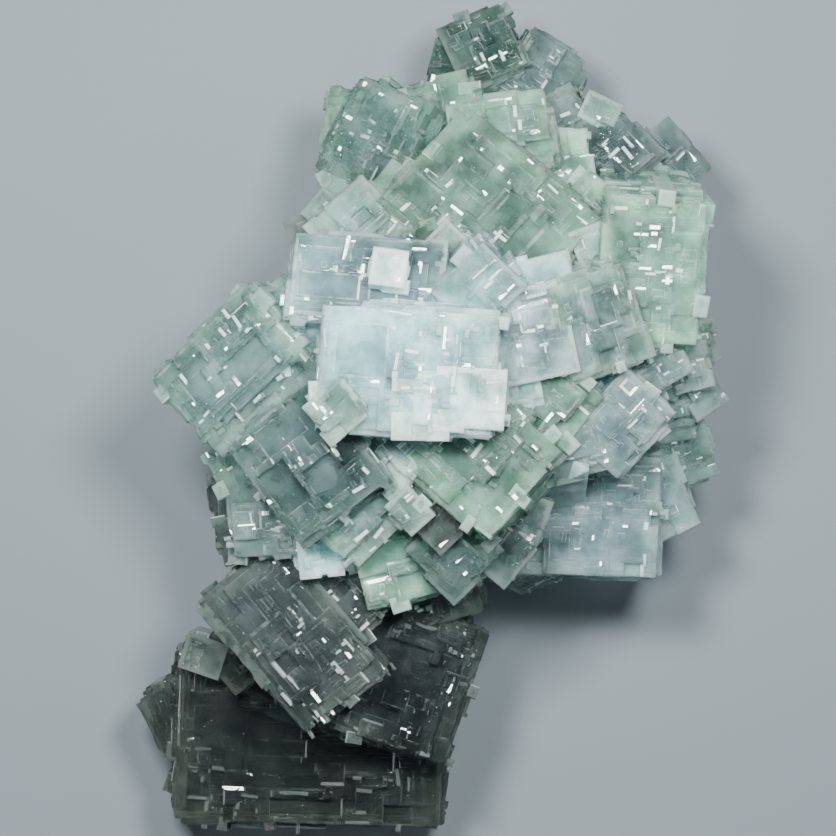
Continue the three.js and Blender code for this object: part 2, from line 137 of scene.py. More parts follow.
# Name, middle of the upper face, size, spin, lean and its compass angle, terraces, the length of
# its ledges, its tint and how milky it is from 0 to 1.
CRYSTALS = [
    # The bright bricks in the middle.
    ("front_brick", (-2.3, 4.9, 42), (20.5, 14.5, 22), -4, (4, 270), 3, 3.2, "white", 0.68),
    ("upper_brick", (-7, 15.1, 37), (17.5, 11, 20), -5, (12, 100), 2, 3.0, "mist", 0.55),
    # This cube's near-white tint is a painted highlight, where it faces the light.
    ("bright_cube", (-4.4, 16.4, 39.5), (4, 4.2, 6), -8, (8, 90), 0, 2.0, "painted_highlight_tint", 0.95),
    ("middle_cube", (5.4, 14.1, 38.5), (8, 7.5, 12), 45, (14, 270), 1, 3.4, "white", 0.45),
    ("pale_cube", (10.7, 9, 36.5), (10.5, 10.5, 16), 12, (5, 0), 1, 2.4, "lavender", 0.6),
    ("pit_cube", (-1, 19.1, 33), (5, 5, 10), 20, (10, 200), 1, 1.2, "mint", 0.3),
    # The large cubes towards the upper end.
    ("upper_cube", (6.9, 23.3, 31.5), (21, 16.5, 22), -41, (16, 80), 3, 2.8, "mint", 0.34),
    ("upper_back", (8.1, 32.4, 27), (12.5, 9.5, 16), 8, (20, 95), 2, 2.0, "mint", 0.45),
    ("left_top", (-6.4, 31.8, 25), (11, 13, 16), -27, (22, 150), 3, 1.4, "pale", 0.2),
    ("left_top_back", (-8.8, 34.3, 20), (8, 9.5, 12), -4, (24, 150), 3, 1.4, "mint", 0.3),
    ("left_top_low", (-9.6, 27.1, 21), (6.5, 7, 12), -20, (20, 180), 2, 1.4, "pale", 0.4),
    ("left_shoulder", (-8.5, 21.7, 31), (9, 8.5, 14), 42, (18, 120), 2, 1.4, "pale", 0.45),
    ("peak", (6.4, 42.9, 17), (8.5, 9.5, 12), 24, (16, 110), 2, 1.6, "shade", 0.3),
    ("peak_right", (13.3, 39.7, 16), (9, 10, 12), -32, (20, 60), 3, 1.6, "slate", 0.4),
    ("peak_left", (2.2, 40.7, 16), (5.5, 6, 10), -12, (22, 140), 2, 1.6, "shade", 0.3),
    ("right_top", (21.3, 30.9, 20), (9.5, 9.5, 14), 42, (22, 60), 2, 2.0, "slate", 0.3),
    ("right_small", (20.1, 35.1, 19), (5, 3.6, 8), -25, (16, 60), 1, 1.6, "pale", 0.5),
    ("right_far", (27.5, 29, 17), (9.5, 8.5, 12), 41, (22, 40), 2, 1.8, "slate", 0.3),
    ("wedge_cube", (15.5, 28.5, 25), (7, 8.5, 12), 8, (15, 45), 1, 2.2, "mint", 0.6),
    # The right side.
    ("right_block", (25.1, 16.1, 33), (12, 17.5, 20), -3, (14, 280), 2, 1.6, "mint", 0.5),
    ("mid_right", (19, 10.2, 35), (11, 12.5, 18), 18, (12, 330), 2, 1.8, "pale", 0.5),
    ("right_pair", (21.5, -1, 31), (9, 10.5, 16), -42, (14, 300), 1, 2.2, "lavender", 0.45),
    ("right_edge", (29.7, 5.5, 25), (5.2, 5.4, 12), 14, (16, 350), 1, 1.2, "grey", 0.4),
    ("right_edge_tip", (31.4, 2.7, 22), (4.6, 5, 10), 34, (18, 350), 1, 1.2, "grey", 0.3),
    ("right_edge_near", (26.8, 3.6, 24), (4.4, 4, 10), -20, (12, 300), 1, 1.2, "grey", 0.3),
    ("right_edge_far", (31.1, 8.2, 22), (4.8, 5.5, 10), 10, (20, 0), 1, 1.2, "grey", 0.3),
    ("right_edge_low", (27.9, -1, 22), (6, 6.5, 12), 8, (14, 330), 2, 1.4, "grey", 0.3),
    ("right_hidden", (30, -4.4, 18), (7, 8, 12), 20, (16, 330), 2, 1.6, "grey", 0.4),
    ("low_right", (18.3, -11.8, 22), (17.5, 14.5, 14), -2, (8, 280), 2, 2.0, "lavender", 0.4),
    ("low_right_near", (11.7, -13.6, 20), (8.5, 9, 11), -10, (12, 250), 2, 1.4, "grey", 0.4),
    ("low_right_far", (26, -9.6, 19), (9, 10, 11), 25, (15, 330), 1, 1.8, "lavender", 0.5),
    # The left side.
    ("left_point", (-21.8, 4.9, 34), (16.5, 13.4, 18), 41, (20, 185), 3, 1.9, "pale", 0.3),
    ("left_low", (-13.6, -5.2, 37), (15, 13.5, 18), -53, (10, 215), 3, 1.9, "slate", 0.35),
    ("left_low_tip", (-8.3, -10.2, 33.5), (11.5, 11.5, 16), 45, (8, 260), 2, 2.0, "pale", 0.55),
    ("terraced_corner", (-17.9, -11.5, 28.5), (9.5, 9.5, 14), 4, (6, 225), 3, 2.0, "grey", 0.4),
    ("small_clear", (-12.2, -15.4, 29.5), (6.2, 5.6, 10), 6, (6, 270), 1, 2.4, "white", 0.85),
    ("left_dark", (-22.9, -11.1, 19), (5, 8.5, 10), 3, (10, 180), 2, 1.4, "smoke", 0.2),
    ("left_grain", (-13.8, 20.7, 26), (4.2, 4.6, 8), 22, (12, 160), 0, 1.2, "smoke", 0.3),
    ("left_grain_high", (-11.8, 23.3, 27), (4, 4, 8), 50, (12, 140), 0, 1.2, "grey", 0.3),
    # The green cubes below the middle.
    ("centre_low", (5.6, -3.9, 36), (14.4, 14.4, 18), -42, (7, 150), 2, 3.0, "mint", 0.42),
    ("rim_cube", (-2.3, -10.7, 34.5), (4.2, 4.6, 10), 42, (8, 250), 1, 1.2, "pale", 0.5),
    ("fill_cube", (-0.5, -7.5, 33), (7, 6.5, 12), 45, (6, 250), 1, 1.6, "mint", 0.4),
    ("green_low", (-1.5, -15.9, 28.5), (14.5, 10.5, 15), 14, (8, 265), 2, 2.0, "mint", 0.5),
    ("green_corner", (2.9, -15.4, 31), (8.5, 8.5, 13), 45, (8, 270), 1, 2.4, "grey", 0.15),
    ("green_right", (8, -14.9, 29), (6.5, 7, 12), 50, (12, 320), 1, 1.8, "slate", 0.3),
    # The dark cubes at the lower end: their dark tints are partly darker fluorite and partly painted
    # shade.
    ("diamond", (-15.5, -25.1, 26), (20, 13, 13), -50, (8, 225), 2, 2.6, "smoke", 0.24),
    ("dark_right", (-2, -30.1, 21), (15.5, 17.5, 13), -19, (14, 350), 3, 2.4, "smoke", 0.16),
    ("dark_bottom", (-13.9, -37.9, 14), (32, 20.5, 11), -2, (6, 270), 3, 4.0, "dark", 0.13),
    ("dark_knob", (-29, -34.5, 13), (8.5, 8, 8), 27, (10, 200), 2, 1.4, "dark", 0.1),
    ("dark_corner", (-26.4, -42.1, 11.5), (7, 7, 8), -24, (10, 215), 2, 1.4, "dark", 0.1),
    ("light_cube", (-26, -27.7, 17.5), (5, 4.3, 7), -18, (8, 200), 0, 1.6, "smoke", 0.3),
    ("low_plate", (-19.5, -47, 11), (6, 2.4, 6), 0, (6, 270), 0, 2.0, "smoke", 0.3),
    # Around the foot, facing outward and partly broken off by the rest.
    ("foot_right", (30, 13, 12), (11, 10, 13), 25, (68, 5), 2, 1.8, "mint", 0.4),
    ("foot_right_high", (25.5, 24.5, 9), (9, 9, 12), 50, (62, 42), 2, 1.8, "grey", 0.4),
    ("foot_right_low", (28, -7, 8), (10, 9, 12), 15, (66, 338), 2, 1.8, "lavender", 0.4),
    ("foot_under_right", (15, -18.5, 9), (12, 9, 12), 35, (70, 288), 2, 1.8, "grey", 0.4),
    ("foot_top", (8, 41.5, 7), (9, 9, 11), 20, (66, 95), 2, 1.8, "mint", 0.4),
    ("foot_left_high", (-7.5, 30.5, 8), (10, 10, 12), 40, (64, 150), 2, 1.8, "pale", 0.4),
    ("foot_left", (-19.5, 10, 10), (11, 10, 13), 30, (66, 165), 2, 1.8, "pale", 0.4),
    ("foot_left_low", (-22.5, -8, 8), (10, 10, 12), 10, (68, 190), 2, 1.8, "grey", 0.4),
    ("foot_dark", (3, -29.5, 6), (11, 8, 10), 25, (66, 345), 1, 1.8, "smoke", 0.2),
    # Smaller ones that fill the gaps between the others.
    ("fill_peak", (1.4, 35.6, 21), (8.5, 7.5, 11), 12, (16, 120), 2, 1.6, "mint", 0.35),
    ("fill_top", (15.5, 34.4, 19.5), (7, 7, 10), 28, (20, 70), 1, 1.6, "grey", 0.3),
    ("fill_left_top", (-9.6, 26, 24.5), (5, 5.5, 9), 30, (18, 160), 1, 1.4, "pale", 0.4),
    ("fill_ridge", (-4, 25.5, 28.5), (6, 7, 10), -38, (16, 120), 1, 1.4, "mint", 0.35),
    ("fill_wedge", (18.1, 23, 29.5), (7.5, 9, 12), -40, (14, 20), 2, 2.0, "mint", 0.5),
    ("fill_wedge_low", (19.2, 18.7, 31), (5.5, 6, 10), 20, (10, 300), 1, 1.8, "pale", 0.5),
    ("fill_pit", (2.4, 18.9, 33.8), (5, 5, 9), 45, (12, 270), 1, 1.2, "pale", 0.5),
    ("fill_pale", (12.7, 14.8, 34.4), (7, 6, 11), 14, (8, 330), 1, 1.8, "white", 0.6),
    ("fill_left_high", (-16.2, 13, 32), (6.5, 6, 11), 38, (14, 150), 2, 1.4, "pale", 0.4),
    ("fill_left", (-13.5, 7.9, 35), (6, 9.5, 12), 8, (10, 190), 2, 1.4, "white", 0.6),
    ("fill_right", (25, 6.1, 29), (8, 8, 12), 30, (14, 320), 2, 1.6, "grey", 0.4),
    ("fill_centre", (12.9, 1.6, 34), (11.5, 10, 14), -38, (10, 300), 2, 2.4, "mint", 0.5),
    ("fill_centre_low", (17.3, -3.3, 31), (8.5, 8, 12), 12, (12, 300), 2, 1.6, "grey", 0.4),
    ("fill_centre_high", (9.2, 3.5, 35.5), (6.5, 6, 12), 12, (8, 320), 1, 2.0, "white", 0.65),
    ("fill_brick", (-4.5, -3.5, 35.5), (9.5, 9, 13), 45, (6, 250), 2, 1.8, "pale", 0.6),
    ("fill_corner", (-21.2, -5.7, 28), (7.5, 8, 12), 30, (14, 200), 2, 1.4, "pale", 0.35),
    ("fill_green", (1.4, -11.1, 33), (6.5, 6.5, 12), 45, (8, 280), 1, 1.4, "smoke", 0.25),
    ("fill_low", (10.2, -12, 27.5), (6, 7, 12), -20, (12, 300), 1, 1.4, "grey", 0.45),
    ("fill_dark", (-21.9, -14.1, 23.5), (5, 5.5, 10), 14, (10, 200), 1, 1.4, "smoke", 0.25),
    ("fill_diamond", (-8.7, -20.1, 26), (9, 9.5, 12), 42, (8, 260), 2, 1.6, "smoke", 0.3),
    ("fill_green_low", (0.9, -20.8, 22), (11, 7, 12), 14, (8, 280), 2, 1.8, "smoke", 0.25),
    ("fill_knob", (-22.1, -27.9, 17.5), (6.5, 6, 9), -50, (8, 210), 1, 1.4, "dark", 0.15),
    # Thin layers grown on the corners of the front brick, finer than the solid shows. The two corner
    # layers' near-white tint is a painted highlight, the glow of the front brick's lower right.
    ("front_corner", (4.5, 1.7, 42.2), (7.8, 7.2, 10), -4, (4, 270), 1, 2.4, "painted_highlight_tint", 0.9),
    ("front_corner_left", (-0.9, 1.1, 42.05), (6.4, 7.6, 10), -1, (5, 255), 1, 2.4, "painted_highlight_tint", 0.85),
    ("front_side", (-10.3, 0.5, 42), (6, 5.5, 10), 41, (8, 225), 2, 1.9, "pale", 0.55),
]

# Broken, massive fluorite behind the crystals: middle, radii and spin of each cleaved lump.
LUMPS = [
    ((9, 14, 5), (23, 23, 31), 45),
    ((-6, -1, 6), (16, 20, 29), 8),
    ((-5, 10, 7), (15, 19, 29), 15),
    ((8, -6, 5), (17, 16, 29), 40),
    ((-9, -27, 2), (17, 16, 20), 25),
    ((7, 30, 3), (15, 15, 20), 20),
    ((19, 2, 5), (11, 19, 24), -8),
]


# One face of a crystal: the crystal's number, half its sizes, the axis that the face lies across,
# on which side, then the crystal's terraces, tint and milkiness.
Face = namedtuple("Face", "number half axis side wear tint milk")


def flat_axes(axis):
    """The two axes that lie in a face across this one."""
    return (axis + 1) % 3, (axis + 2) % 3


def face_halves(face):
    """Half the width and half the height of a face."""
    return [face.half[axis] for axis in flat_axes(face.axis)]


def chance(*keys):
    """The same number from 0 to 1 for the same keys, which may be arrays.

    A plain number among the keys only tells one use from another.
    """
    mixed = 0.5
    for i, key in enumerate(keys):
        mixed = mixed + key * (12.9898 + 65.2 * i)
    wave = np.sin(mixed) * 43758.5453
    return wave - np.floor(wave)


def block_lines(half, *keys):
    """The places of the lines between a face's blocks, from -half to half, unevenly spaced."""
    blocks = max(MIN_BLOCKS, math.floor(2 * half / BLOCK + 0.5))
    lines = [-half - SLAB_MARGIN]
    for i in range(1, blocks):
        jitter = BLOCK_JITTER * (chance(i, *keys) - 0.5)
        lines.append(half * (2 * (i + jitter) / blocks - 1))
    return lines + [half + SLAB_MARGIN]


def middles(lines, half):
    """The middles of the stretches between lines, as shares of the face's half width."""
    inside = np.clip(lines, -half, half)
    return (inside[:-1] + inside[1:]) / 2 / half


def terrace_drop(u, v, wear, *keys):
    """How far the broad terraces lie below the highest one, over blocks at u, v from -1 to 1."""
    off_u = TERRACE_SHIFT * (chance(1, *keys) - 0.5)
    off_v = TERRACE_SHIFT * (chance(2, *keys) - 0.5)
    reach = np.maximum(abs(u - off_u), abs(v - off_v))
    patches = [np.floor(TERRACE_GRAIN * share + 0.5) for share in (u, v)]
    rough = chance(*patches, *keys)
    return TERRACE * np.floor(wear * reach**2 + TERRACE_NOISE * rough)


def grid_places(lines):
    """Where the grid lines lie: each line between two blocks is a pair, a step's foot and head."""
    lines = np.array(lines)
    inner = np.stack([lines[1:-1] - STEP_WIDTH / 2, lines[1:-1] + STEP_WIDTH / 2], axis=1).ravel()
    return np.concatenate([lines[:1], inner, lines[-1:]])


def mesh_object(name, points, quads):
    """An object of these points, in millimetres, and faces."""
    mesh = bpy.data.meshes.new(name)
    mesh.from_pydata(points, [], quads)
    piece = bpy.data.objects.new(name, mesh)
    bpy.context.scene.collection.objects.link(piece)
    return piece


def lay_map(piece, name, corners):
    """Gives each face corner its place on a flat map."""
    layer = piece.data.uv_layers.new(name=name)
    layer.data.foreach_set("uv", np.array(corners, dtype=np.float32).ravel())


def mark_faces(piece, name, values):
    """Writes a number on each face."""
    layer = piece.data.attributes.new(name, "FLOAT", "FACE")
    layer.data.foreach_set("value", np.array(values, dtype=np.float32))


def marked(piece, half, axis, marks, tint, milk):
    """Lays flat maps on a piece, and gives each of its faces its tint and its marks.

    The marks of a face are whether it is a step, whether it carries a painted glint, and its share of
    the milkiness.
    """
    second, third = flat_axes(axis)
    mesh = piece.data
    points = np.zeros(3 * len(mesh.vertices), dtype=np.float32)
    mesh.vertices.foreach_get("co", points)
    corners = np.zeros(len(mesh.loops), dtype=np.int32)
    mesh.loops.foreach_get("vertex_index", corners)
    flat = points.reshape(-1, 3)[corners][:, [second, third]]
    lay_map(piece, "facets", flat + MAP_SHIFT * axis)
    lay_map(piece, "shares", flat / np.array([half[second], half[third]]))
    number = len(mesh.polygons)
    mark_faces(piece, "across", np.full(number, half[second]))
    mark_faces(piece, "along", np.full(number, half[third]))
    mark_faces(piece, "step", [mark[0] for mark in marks])
    mark_faces(piece, "painted_glint", [mark[1] for mark in marks])
    mark_faces(piece, "milk", milk * np.array([mark[2] for mark in marks]))
    colours = mesh.attributes.new("tint", "FLOAT_COLOR", "FACE")
    colours.data.foreach_set("color", np.tile((*TINTS[tint], 1), number).astype(np.float32))
    return piece


def terraced_slab(axis, half, wear, key, tint, milk):
    """A slab across one axis of a crystal, whose two broad sides are terraced."""
    second, third = flat_axes(axis)
    lines_u = block_lines(half[second], key, axis, 3)
    lines_v = block_lines(half[third], key, axis, 4)
    places_u, places_v = grid_places(lines_u), grid_places(lines_v)
    rows, columns = len(places_u), len(places_v)
    block_u, block_v = np.meshgrid(
        middles(lines_u, half[second]), middles(lines_v, half[third]), indexing="ij"
    )
    points = np.zeros((2, rows, columns, 3))
    for layer, side in enumerate((-1, 1)):
        drop = terrace_drop(block_u, block_v, wear, key, axis, side)
        level = half[axis] - np.repeat(np.repeat(drop, 2, axis=0), 2, axis=1)
        points[layer, :, :, second] = places_u[:, None]
        points[layer, :, :, third] = places_v[None, :]
        points[layer, :, :, axis] = side * level
    number = np.arange(2 * rows * columns).reshape(2, rows, columns)
    upper, lower = number[1], number[0]
    cells = [upper[:-1, :-1], upper[1:, :-1], upper[1:, 1:], upper[:-1, 1:]]
    quads = [np.stack(cells, axis=-1).reshape(-1, 4)]
    cells = [lower[:-1, :-1], lower[:-1, 1:], lower[1:, 1:], lower[1:, :-1]]
    quads.append(np.stack(cells, axis=-1).reshape(-1, 4))
    walls = [
        (0, slice(None), False), (-1, slice(None), True),
        (slice(None), 0, True), (slice(None), -1, False),
    ]
    for row, column, turned in walls:
        high, low = upper[row, column], lower[row, column]
        wall = np.stack([low[:-1], high[:-1], high[1:], low[1:]], axis=-1)
        quads.append(wall[:, ::-1] if turned else wall)
    quads = np.concatenate(quads)
    flat = points.reshape(-1, 3)
    rise = np.ptp(flat[quads][:, :, axis], axis=1)
    marks = [(LEAST_STEP < height < LEAST_WALL * half[axis], 0, 1) for height in rise]
    return marked(mesh_object("slab", flat.tolist(), quads.tolist()), half, axis, marks, tint, milk)


def tablet(axis, side, levels, sheets):
    """A solid of three flat sheets: its top, the foot of the slope round it, and its base."""
    second, third = flat_axes(axis)
    points = []
    for level, (u0, u1, v0, v1) in zip(levels, sheets):
        for u, v in ((u0, v0), (u1, v0), (u1, v1), (u0, v1)):
            point = [0, 0, 0]
            point[axis], point[second], point[third] = side * level, u, v
            points.append(point)
    faces = [(0, 1, 2, 3)]
    for ring in (0, 4):
        for i in range(4):
            j = (i + 1) % 4
            faces.append((ring + i, ring + 4 + i, ring + 4 + j, ring + j))
    faces.append((11, 10, 9, 8))
    if side < 0:
        faces = [face[::-1] for face in faces]
    return mesh_object("tablet", points, faces)


def widened(sheet, runs):
    """A flat sheet, wider by a different amount on each of its four sides."""
    u0, u1, v0, v1 = sheet
    return u0 - runs[0], u1 + runs[1], v0 - runs[2], v1 + runs[3]


def between(limits, share):
    """The number that lies so far from the first limit to the second."""
    return limits[0] + share * (limits[1] - limits[0])


def random_sheet(half_u, half_v, spread, margin, *keys):
    """A sheet somewhere on a face, kept a margin inside its edges."""
    draws = [float(chance(i, *keys)) for i in range(4)]
    sheet = []
    for half, place, size in ((half_u, draws[0], draws[1]), (half_v, draws[2], draws[3])):
        width = max(2 * half * between(spread, size**2), LEAST_WIDTH)
        limit = half - margin
        middle = limit * (2 * place - 1)
        sheet += [max(middle - width / 2, -limit), min(middle + width / 2, limit)]
    for i in (0, 2):
        if sheet[i + 1] - sheet[i] < LEAST_CUT_WIDTH:
            sheet[i] = min(sheet[i], sheet[i + 1] - LEAST_CUT_WIDTH)
    return sheet


def slope_marks(sheet, *keys):
    """The marks of a slope's four sides: each is a step, and some of the short ones carry a painted
    glint.
    """
    u0, u1, v0, v1 = sheet
    marks = []
    for i, length in enumerate((u1 - u0, v1 - v0, u1 - u0, v1 - v0)):
        painted_glint = length < GLINT_LENGTH and chance(i, *keys) < GLINT_SHARE
        marks.append((1, float(painted_glint), 1))
    return marks


def turn_about_top(piece, turn):
    """Turns a plate about the middle of its top."""
    top = sum((piece.data.vertices[i].co for i in range(4)), Vector()) / 4
    turned = turn.to_matrix().to_4x4()
    piece.data.transform(Matrix.Translation(top) @ turned @ Matrix.Translation(-top))


def slight_turn(most, *keys):
    """A turn of up to so many radians about each axis."""
    return Euler([most * (2 * float(chance(i, *keys)) - 1) for i in range(3)])


def terrace_level(face, u, v):
    """How high the broad terrace under a place on a face lies."""
    across, along = face_halves(face)
    shares = np.array(u / across), np.array(v / along)
    drop = terrace_drop(*shares, face.wear, face.number, face.axis, face.side)
    return face.half[face.axis] - float(drop)


def crowd(face, area):
    """How many details fit a face, when each takes this area. It is not rounded."""
    across, along = face_halves(face)
    return (CROWDING[0] + CROWDING[1] * face.wear) * 4 * across * along / area


def hillocks(face):
    """The sheet and the level of each tier of the hillocks on one face, each on the one before."""
    tiers = []
    for i in range(math.ceil(crowd(face, HILL_AREA))):
        keys = (i, face.number, face.axis, face.side)
        sheet = random_sheet(*face_halves(face), HILL_SPREAD, PLATE_MARGIN, 61, *keys)
        level = terrace_level(face, (sheet[0] + sheet[1]) / 2, (sheet[2] + sheet[3]) / 2)
        for j in range(TIERS):
            level += TIER_RISE * (0.5 + float(chance(j, 62, *keys)))
            tiers.append((tuple(sheet), level))
            widths = (sheet[1] - sheet[0], sheet[3] - sheet[2])
            steps = [TIER_STEP * float(chance(j, 63 + n, *keys)) ** 2 for n in range(4)]
            sheet = widened(sheet, [-step * widths[n // 2] for n, step in enumerate(steps)])
    return tiers


def slope_runs(*keys):
    """How far the slope round a plate or a pit leans out on each of its four sides."""
    return [between(BEVEL_RUNS, float(chance(keys[0] + j, *keys[1:])) ** 2) for j in range(4)]


def plates(face, tiers):
    """The tiers of one face's hillocks, each with a slope round its top."""
    pieces = []
    for i, (sheet, level) in enumerate(tiers):
        keys = (i, face.number, face.axis, face.side)
        foot = widened(sheet, slope_runs(65, *keys))
        levels = (level, level - BEVEL_RISE, level - PLATE_DEPTH)
        piece = tablet(face.axis, face.side, levels, (sheet, foot, foot))
        turn_about_top(piece, slight_turn(PLATE_TILT, 69, *keys))
        milk = between(PLATE_MILK, float(chance(70, *keys)))
        marks = [(0, 0, milk)] + [(1, 0, milk)] * 4 + [(0, 0, 1)] * 5
        pieces.append(marked(piece, face.half, face.axis, marks, face.tint, face.milk))
    return pieces


def drift_place(half_u, half_v, number, *keys):
    """A place on a face, near one of the spots that its ledges gather round."""
    place = []
    for i, half in enumerate((half_u, half_v)):
        spot = 2 * float(chance(number % DRIFTS, 81 + i, *keys)) - 1
        spread = float(chance(number, 83 + i, *keys) + chance(number, 85 + i, *keys)) - 1
        share = spot + 2 * DRIFT_SPREAD * spread
        place.append((half - PLATE_MARGIN) * max(-1, min(1, share)))
    return place


def edge_place(sheet, number, *keys):
    """A place on an edge of a sheet, and whether that edge runs along the second direction."""
    turned = bool(chance(number, 93, *keys) < 0.5)
    far = bool(chance(number, 94, *keys) < 0.5)
    share = float(chance(number, 95, *keys))
    if turned:
        return sheet[far], between(sheet[2:], share), turned
    return between(sheet[:2], share), sheet[2 + far], turned


def covers(sheet, u, v):
    """Whether a sheet lies over a place."""
    return sheet[0] < u < sheet[1] and sheet[2] < v < sheet[3]


def ledges(face, tiers, longest, mirror):
    """Narrow ledges on one face, in drifts nearly all the same way round or along the tiers."""
    pieces = []
    keys = (face.number, face.axis, face.side)
    for i in range(round(crowd(face, LEDGE_AREA if face.axis == 2 else SIDE_LEDGE_AREA))):
        if chance(i, 96, *keys) < EDGEWISE:
            tier = tiers[int(len(tiers) * chance(i, 97, *keys))]
            u, v, turned = edge_place(tier[0], i, *keys)
        else:
            u, v = drift_place(*face_halves(face), i, *keys)
            turned = (face.axis == 0) != (chance(i, 89, *keys) < CROSSWISE)
        length = between((SHORTEST_LEDGE, longest), float(chance(i, 87, *keys)) ** 2) / 2
        width = between(LEDGE_WIDTHS, float(chance(i, 88, *keys))) / 2
        reach_u, reach_v = (width, length) if turned else (length, width)
        under = [level for sheet, level in tiers if covers(sheet, u, v)]
        ground = max(under + [terrace_level(face, u, v)])
        level = ground + between(LEDGE_RISES, float(chance(i, 90, *keys)))
        levels = (level, level - BEVEL_RISE, level - LEDGE_DEPTH)
        sheet = (u - reach_u, u + reach_u, v - reach_v, v + reach_v)
        foot = widened(sheet, [LEDGE_RUN] * 4)
        piece = tablet(face.axis, face.side, levels, (sheet, foot, foot))
        # A glint ledge's top is painted pale as a painted highlight; some of them are also turned to
        # mirror the key light.
        painted_glint = float(chance(i, 92, *keys) < GLINT_SHARE)
        flash = face.tint != "dark" and chance(i, 98, *keys) < FLASH_SHARE
        if painted_glint and flash and face.axis == 2:
            turn_about_top(piece, Vector((0, 0, 1)).rotation_difference(mirror))
        else:
            turn_about_top(piece, slight_turn(LEDGE_TILT, 91, i, *keys))
        marks = [(0, painted_glint, 1)] + [(1, 0, 1)] * 4 + [(0, 0, 1)] * 5
        pieces.append(marked(piece, face.half, face.axis, marks, face.tint, face.milk))
    return pieces


def pits(face):
    """What is cut out of one face of a crystal: shallow stepped pits, and notches in its edges."""
    pieces = []
    surface = face.half[face.axis]
    for i in range(round(crowd(face, PIT_AREA))):
        keys = (i, face.number, face.axis, face.side)
        sheet = random_sheet(*face_halves(face), PIT_SPREAD, 0, 71, *keys)
        floor = surface - PIT_DEPTH * math.ceil(PIT_STEPS * chance(72, *keys))
        mouth = widened(sheet, slope_runs(73, *keys))
        levels = (surface + PIT_CUT, floor + BEVEL_RISE, floor)
        piece = tablet(face.axis, face.side, levels, (mouth, mouth, sheet))
        marks = [(0, 0, 1)] * 5 + slope_marks(sheet, 78, *keys) + [(0, 0, PIT_MILK)]
        pieces.append(marked(piece, face.half, face.axis, marks, face.tint, face.milk))
    return pieces


def combined(target, others, operation):
    """The target joined with, cut by or kept inside the others, which are used up."""
    if not others:
        return target
    group = bpy.data.collections.new("operands")
    for other in others:
        group.objects.link(other)
    change = target.modifiers.new("combine", "BOOLEAN")
    change.operation = operation
    change.solver = "MANIFOLD"
    change.operand_type = "COLLECTION"
    change.collection = group
    graph = bpy.context.evaluated_depsgraph_get()
    mesh = bpy.data.meshes.new_from_object(target.evaluated_get(graph))
    target.modifiers.clear()
    old = target.data
    target.data = mesh
    bpy.data.meshes.remove(old)
    bpy.data.collections.remove(group)
    for other in others:
        used = other.data
        bpy.data.objects.remove(other)
        bpy.data.meshes.remove(used)
    return target


def placement(top, size, spin, lean):
    """Where a crystal stands: its middle is half its depth below the middle of its upper face."""
    tilt, toward = (math.radians(angle) for angle in lean)
    hinge = Vector((-math.sin(toward), math.cos(toward), 0))
    turn = Matrix.Rotation(tilt, 4, hinge) @ Matrix.Rotation(math.radians(spin), 4, "Z")
    return Matrix.Translation(Vector(top)) @ turn @ Matrix.Translation((0, 0, -size[2] / 2))


def mirror_direction(place):
    """Which way a facet at a place on the cluster faces when it sends the key light to the camera."""
    spot = (Vector(place) + Vector(CENTRING)) * MM
    to_camera = Vector((*CAMERA_PLACE, MIDDLE_DEPTH + CAMERA_HEIGHT)) - spot
    to_light = Vector(KEY_PLACE) - spot
    return (to_camera.normalized() + to_light.normalized()).normalized()


def buds(number, half, tint, milk):
    """Small crystals along the edges of a crystal's upper face, nearly parallel to it."""
    pieces = []
    depth = half[2]
    sizes = (BUD_SIZES[0], min(BUD_SIZES[1], WIDEST_BUD * min(half[:2])))
    for i in range(round(2 * (half[0] + half[1]) / BUD_SPACING)):
        run, width, length, drop, tilt, turn = (
            float(chance(i, j, number, 51)) for j in range(6)
        )
        bud = (between(sizes, width), between(sizes, length))
        spot = [2 * BUD_REACH * half[0] * (run - 0.5), 2 * BUD_REACH * half[1] * (run - 0.5)]
        edge = i % 4
        inset = half[edge % 2] - BUD_INSET * bud[edge % 2]
        spot[edge % 2] = inset * (1 if edge < 2 else -1)
        sheet = (-bud[0] / 2, bud[0] / 2, -bud[1] / 2, bud[1] / 2)
        foot = widened(sheet, [BUD_BEVEL[0]] * 4)
        piece = tablet(2, 1, (0, -BUD_BEVEL[1], -depth), (sheet, foot, foot))
        marks = [(0, 0, 1)] + slope_marks(sheet, 58, i, number) + [(0, 0, 1)] * 5
        marked(piece, (bud[0] / 2, bud[1] / 2, depth), 2, marks, tint, min(BUD_MILK * milk, 1))
        lean = Matrix.Rotation(math.radians(BUD_TURN * (tilt - 0.5)), 4, "X")
        spin = Matrix.Rotation(math.radians(2 * BUD_TURN * (turn - 0.5)), 4, "Z")
        place = Matrix.Translation((*spot, depth - between(BUD_DROPS, drop)))
        piece.data.transform(place @ lean @ spin)
        pieces.append(piece)
    return pieces


def crystal(number, name, top, size, spin, lean, wear, ledge, tint, milk):
    """A crystal: what its terraced slabs have in common, with its plates, ledges, buds and pits."""
    half = [side / 2 for side in size]
    stand = placement(top, size, spin, lean)
    mirror = stand.to_3x3().transposed() @ mirror_direction(top)
    slabs = [terraced_slab(axis, half, wear, number, tint, milk) for axis in range(3)]
    piece = combined(slabs[0], slabs[1:], "INTERSECT")
    grown, carved = [], []
    for axis, side in ((2, 1), (0, 1), (0, -1), (1, 1), (1, -1)):
        face = Face(number, half, axis, side, wear, tint, milk)
        tiers = hillocks(face)
        grown += plates(face, tiers)
        grown += ledges(face, tiers, ledge, mirror)
        carved += pits(face)
    piece = combined(piece, grown + buds(number, half, tint, milk), "UNION")
    piece = combined(piece, carved, "DIFFERENCE")
    piece.name = name
    piece.data.transform(stand)
    return piece


